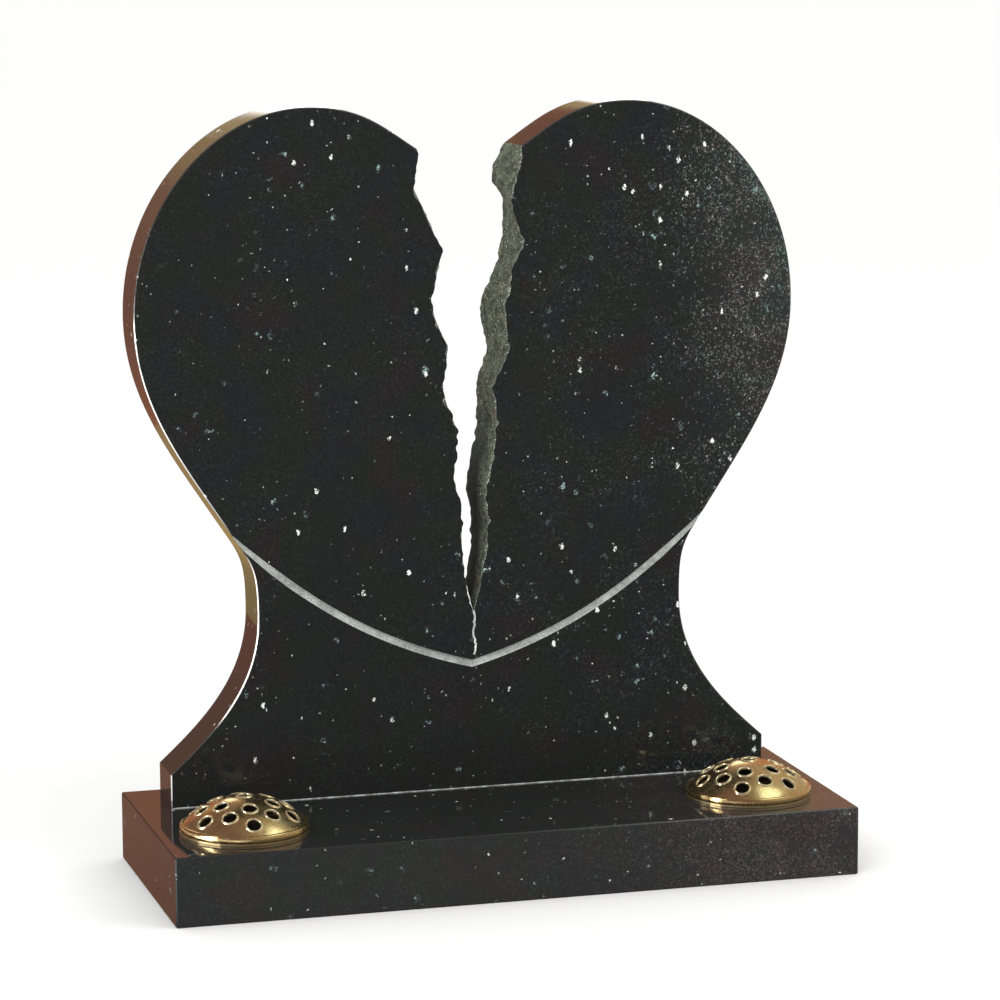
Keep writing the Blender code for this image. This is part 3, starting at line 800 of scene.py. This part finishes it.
lid = {
    "centreX": 0.2862, "centreY": -0.0577, "foot": 0.0786, "height": 0.0360, "wall": 0.0012,
    "domeRadius": 0.0655, "fullness": 0.88, "groove": 0.0068, "bandHeight": 0.0079,
    "radius": 0.070, "holeRadius": 0.0090, "sides": 144, "domePoints": 40,
    "rings": ((0.0, 1, 0.0), (0.0325, 6, 0.0), (0.0462, 6, 0.5), (0.0548, 6, 0.0)),
    "turns": {"Left": -91.5, "Right": -116.5},
    # the band's section: shares of its width from the dome's foot, and of its height
    "band": ((0.04, 0.92), (0.12, 0.98), (0.25, 1.0), (0.42, 1.0), (0.60, 0.965), (0.76, 0.89),
             (0.87, 0.77), (0.94, 0.60), (0.98, 0.42), (1.0, 0.25), (0.975, 0.12), (0.91, 0.04),
             (0.80, 0.0)),
    # a rolled rim's section: distance from the hole's middle, height over the dome, in mm
    "rim": ((10.2, -0.15), (9.8, 0.05), (9.45, 0.40), (9.15, 0.85), (8.8, 1.20), (8.4, 1.35),
            (8.0, 1.25), (7.6, 0.90), (7.3, 0.35), (7.2, -0.3), (7.25, -1.7), (7.6, -1.95),
            (8.0, -1.7), (8.4, -1.25), (10.2, -1.1)),
    "rimSides": 40,
    "plug": (4.0, -6.0), "plugSides": 32,       # the hole's cutter: heights over the dome, in mm
}


def domeHeight(radius):
    # groove + rise * (1 - (r / R)^2) ^ fullness
    share = np.clip(radius / lid["domeRadius"], 0.0, 1.0)
    rise = lid["height"] - lid["groove"]
    return lid["groove"] + rise * (1.0 - share * share) ** lid["fullness"]


def lidProfile():
    # From the top's middle down the dome, round the band at its foot, and back up inside.
    domeRadius, wall = lid["domeRadius"], lid["wall"]
    outer = domeRadius * np.sin(np.linspace(0.0, math.pi / 2, lid["domePoints"])) ** 0.92
    band = np.array(lid["band"]) * (lid["radius"] - domeRadius, lid["bandHeight"]) + (domeRadius, 0.0)
    under = outer[-2::-1] * (domeRadius - wall) / domeRadius
    profile = [np.stack((outer, domeHeight(outer)), axis=1), band, np.array(((domeRadius - wall, 0.0),)),
               np.stack((under, domeHeight(under * domeRadius / (domeRadius - wall)) - wall), axis=1)]
    return np.concatenate(profile)


def turnProfile(name, profile, sides, centre, materials, kinds):
    # The profile's radius and height carried round an upright axis; kinds gives the material
    # of each stretch of the profile.
    turn = np.linspace(0.0, 2 * math.pi, sides, endpoint=False)[:, None]
    grid = np.stack((centre[0] + profile[:, 0] * np.cos(turn), centre[1] + profile[:, 0] * np.sin(turn),
                     centre[2] + profile[:, 1] + 0.0 * turn), axis=-1)
    faces = gridFaces(sides, len(profile), True, False)
    return buildSolid(name, grid, faces, (), materials, np.tile(kinds, sides))


def holePlaces(turn):
    # Plan radius and plan angle of each stem hole.
    places = [(radius, turn + 2 * math.pi * (i + offset) / count)
              for radius, count, offset in lid["rings"] for i in range(count)]
    return np.array(places)


def domeSlope(radius):
    return np.arctan((domeHeight(np.abs(radius - 0.0004)) - domeHeight(radius + 0.0004)) / 0.0008)


def rimGrid(places, centre, section, sides):
    # Round each hole, a point at distance d and angle a lies in plan at the hole's middle plus
    # (d cos a cos(tilt), d sin a); it stands on the dome there, raised along the dome's normal.
    section = np.array(section) / 1000.0
    around = np.linspace(0.0, 2 * math.pi, sides, endpoint=False)
    radius, angle = places[:, 0, None, None], places[:, 1, None, None]
    tilt = np.where(radius > 0, domeSlope(radius), 0.0)
    distance = section[None, None, :, 0]
    alongX = radius + distance * np.cos(around)[None, :, None] * np.cos(tilt)
    alongY = distance * np.sin(around)[None, :, None] + 0.0 * alongX
    reach = np.hypot(alongX, alongY)
    steep = domeSlope(reach)
    out = np.sin(steep) * section[None, None, :, 1]
    share = 1.0 + out / np.maximum(reach, 1e-6)
    alongX, alongY = alongX * share, alongY * share
    height = domeHeight(reach) + np.cos(steep) * section[None, None, :, 1]
    x = centre[0] + alongX * np.cos(angle) - alongY * np.sin(angle)
    y = centre[1] + alongX * np.sin(angle) + alongY * np.cos(angle)
    return np.stack((x, y, centre[2] + height), axis=-1)


def manyTubes(grid, sectionClosed):
    # Face numbers for several rings of one size
    count, rows, columns = grid.shape[:3]
    one = gridFaces(rows, columns, True, sectionClosed)
    return (one[None] + (np.arange(count) * rows * columns)[:, None, None]).reshape(-1, 4)


def holeCutters(name, places, centre):
    # Plugs at right angles to the dome, a little wider than the hole; the rims cover the cut.
    radius = lid["holeRadius"] * 1000.0
    grid = rimGrid(places, centre, [(radius, height) for height in lid["plug"]], lid["plugSides"])
    count, rows, columns = grid.shape[:3]
    ring = np.arange(rows) * columns
    caps = [ring + i * rows * columns + end for i in range(count) for end in (0, columns - 1)]
    return buildSolid(name, grid, manyTubes(grid, False), caps, (giltLid,))


def makeLid(sideName, way):
    centre = (way * lid["centreX"], lid["centreY"], lid["foot"])
    places = holePlaces(math.radians(lid["turns"][sideName]))
    profile = lidProfile()
    inner = (np.arange(len(profile) - 1) >= lid["domePoints"] + len(lid["band"])).astype(np.int32)
    dome = turnProfile("flowerLid" + sideName, profile, lid["sides"], centre,
                       (giltLid, lidUnderside), inner)
    cutAway(dome, [holeCutters("holeCutters" + sideName, places, centre)])
    shadeBy(dome, 40.0)
    rims = rimGrid(places, centre, lid["rim"], lid["rimSides"])
    # the rims take the paler gilt of painted highlight
    rolled = buildSolid("stemHoleRims" + sideName, rims, manyTubes(rims, True), materials=(highlightGilt,))
    shadeBy(rolled, 60.0)
    for piece in (dome, rolled):
        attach(piece, "root")
        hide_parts("flower_lid_" + sideName.lower())


for sideName, way in (("Left", -1.0), ("Right", 1.0)):
    makeLid(sideName, way)
print("lids made")


# Solids that keep their shape and take a finer finish

containerMouth = {
    "centreX": lid["centreX"], "centreY": lid["centreY"], "cupRadius": 0.0545,
    "ridgeRadius": 0.0627, "flangeTop": 0.0783, "lip": 0.0665,
}
spunAluminium = makeContainerMaterial(containerMouth)
finishes = {"base": basePolish, "flower_container_left": spunAluminium,
            "flower_container_right": spunAluminium}
for nodeName, finish in finishes.items():
    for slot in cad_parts[nodeName].material_slots:
        slot.material = finish
print("base and containers finished")


# Studio: pale floor, soft light, and cards that only reflections see

studio = {
    "floorColour": (0.90, 0.90, 0.895),
    "skyStrength": 1.10,
    "roomLeft": (0.16, 0.105, 0.100),
    "roomRight": (0.45, 0.38, 0.29),
    # stops of each card: place along its axis in metres, colour
    "frontCard": ("Y", ((-1.3, (0.030, 0.030, 0.032)), (-0.15, (0.22, 0.21, 0.20)))),
    "sideCard": ("Y", ((-0.15, (0.29, 0.125, 0.075)), (0.5, (0.36, 0.17, 0.10)), (1.0, (0.48, 0.31, 0.14)),
                       (1.5, (0.52, 0.36, 0.14)))),
    "backCard": ("Z", ((0.15, (0.36, 0.135, 0.072)), (0.48, (0.34, 0.14, 0.085)), (0.95, (0.44, 0.21, 0.12)),
                       (1.12, (0.60, 0.38, 0.18)), (1.19, (0.58, 0.36, 0.17)), (1.26, (0.42, 0.17, 0.09)))),
    "neckCard": ("X", ((-0.62, (0.34, 0.125, 0.068)), (-0.36, (0.46, 0.30, 0.13)))),
    "baseCard": ("X", ((-0.1, (0.57, 0.22, 0.115)), (0.8, (0.59, 0.29, 0.155)))),
    "topCard": ("Z", ((1.06, (2.9, 2.8, 2.6)), (1.14, (0.66, 0.46, 0.23)))),
    "arrisCard": ("Z", ((0.0, (16.0, 15.6, 14.6)), (1.2, (13.0, 12.6, 11.6)))),
    "leftFloorCard": ("X", ((-1.1, (9.0, 8.8, 8.2)), (-0.5, (1.8, 1.9, 1.8)))),
    "highCard": ("X", ((0.45, (0.30, 0.30, 0.25)), (0.95, (1.70, 1.92, 1.75)), (1.6, (1.50, 1.68, 1.55)),
                       (2.0, (0.45, 0.44, 0.36)))),
}


def flatSheet(name, corners, material):
    mesh = bpy.data.meshes.new(name)
    mesh.from_pydata([tuple(corner) for corner in corners], [], [tuple(range(len(corners)))])
    mesh.materials.append(material)
    made = bpy.data.objects.new(name, mesh)
    bpy.context.collection.objects.link(made)
    return made


def makeFloor():
    material, tree, shader = startMaterial("paleFloor", studio["floorColour"], Roughness=1.0)
    shader.inputs["Specular IOR Level"].default_value = 0.0
    half = 70.0
    corners = ((-half, -half, 0), (half, -half, 0), (half, half, 0), (-half, half, 0))
    flatSheet("studioFloor", corners, material)


def cardMaterial(name, axis, stops):
    # A glow that changes along one axis, between stops given in metres
    material = bpy.data.materials.new(name)
    material.use_nodes = True
    tree = material.node_tree
    tree.nodes.clear()
    place = objectPlace(tree)
    along = addNode(tree, "ShaderNodeSeparateXYZ", {0: place}).outputs[axis]
    colour = stops[0][1]
    for (start, _), (end, following) in zip(stops, stops[1:]):
        colour = blendColours(tree, stepBetween(tree, along, start, end), colour, following)
    glow = addNode(tree, "ShaderNodeEmission", {"Color": colour, "Strength": 1.0})
    tree.links.new(glow.outputs[0], addNode(tree, "ShaderNodeOutputMaterial").inputs["Surface"])
    return material


def card(name, corners):
    made = flatSheet(name, corners, cardMaterial(name, *studio[name]))
    made.visible_camera = False
    made.visible_diffuse = False
    made.visible_shadow = False
    made.visible_transmission = False
    return made


def floorCard(name, left, right, front, back):
    card(name, ((left, front, 0.0003), (right, front, 0.0003), (right, back, 0.0003), (left, back, 0.0003)))


def standingCard(name, start, end, low, high):
    card(name, ((*start, low), (*end, low), (*end, high), (*start, high)))


def softbox(name, place, target, size, watts, colour):
    lamp = bpy.data.lights.new(name, "AREA")
    lamp.shape = "RECTANGLE"
    lamp.size, lamp.size_y = size
    lamp.energy = watts
    lamp.color = colour
    made = bpy.data.objects.new(name, lamp)
    made.location = place
    made.rotation_euler = (Vector(target) - Vector(place)).to_track_quat("-Z", "Y").to_euler()
    made.visible_camera = False
    made.visible_glossy = False
    bpy.context.collection.objects.link(made)


def makeSky():
    # White for the camera and soft light; reflections see a warm room, darker to the left.
    world = bpy.data.worlds.new("studioSky")
    bpy.context.scene.world = world
    world.use_nodes = True
    tree = world.node_tree
    tree.nodes.clear()
    way = addNode(tree, "ShaderNodeTexCoord").outputs["Generated"]
    parts = addNode(tree, "ShaderNodeSeparateXYZ", {0: way})
    room = blendColours(tree, stepBetween(tree, parts.outputs["X"], -0.35, 0.65),
                        studio["roomLeft"], studio["roomRight"])
    roomGlow = addNode(tree, "ShaderNodeBackground", {"Color": room, "Strength": 1.0})
    white = addNode(tree, "ShaderNodeBackground", {"Color": (1.0, 1.0, 1.0, 1.0),
                                                   "Strength": studio["skyStrength"]})
    glossy = addNode(tree, "ShaderNodeLightPath").outputs["Is Glossy Ray"]
    both = addNode(tree, "ShaderNodeMixShader", {0: glossy, 1: white.outputs[0], 2: roomGlow.outputs[0]})
    tree.links.new(both.outputs[0], addNode(tree, "ShaderNodeOutputWorld").inputs["Surface"])


makeFloor()
floorCard("frontCard", -0.40, 14.0, -30.0, -0.156)
floorCard("sideCard", -1.4, 6.0, -0.156, 1.6)
standingCard("backCard", (-0.85, 1.6), (1.4, 1.6), 0.0, 1.32)
standingCard("neckCard", (-0.85, 1.59), (0.1, 1.59), 0.0, 0.13)
standingCard("baseCard", (-0.35, 1.59), (1.4, 1.59), 0.34, 0.60)
standingCard("topCard", (-0.28, 1.58), (0.9, 1.58), 0.78, 1.20)
card("arrisCard", ((-1.90, -0.20, 0.0), (-1.90, -0.20, 0.42), (-1.868, -0.328, 0.45), (-1.85, -0.40, 1.25),
                   (-1.80, -0.60, 1.30), (-1.80, -0.60, 0.0)))
card("leftFloorCard", ((-1.9, -0.75, 0.0006), (-0.42, -0.48, 0.0006), (-0.42, -0.165, 0.0006),
                       (-0.62, -0.165, 0.0006), (-0.62, 0.06, 0.0006), (-1.7, 0.10, 0.0006)))
card("highCard", ((0.40, -1.45, 2.0), (2.0, -1.45, 2.0), (2.0, -0.05, 2.0), (0.40, -0.05, 2.0)))
softbox("keySoftbox", (-2.0, -3.2, 2.6), (0.0, 0.0, 0.4), (1.6, 1.6), 45.0, (1.0, 0.99, 0.97))
softbox("sideSoftbox", (2.2, -1.6, 2.2), (0.1, 0.0, 0.3), (1.2, 1.2), 18.0, (1.0, 0.97, 0.92))
makeSky()
bpy.context.scene.view_settings.view_transform = "Standard"
print("studio lit")
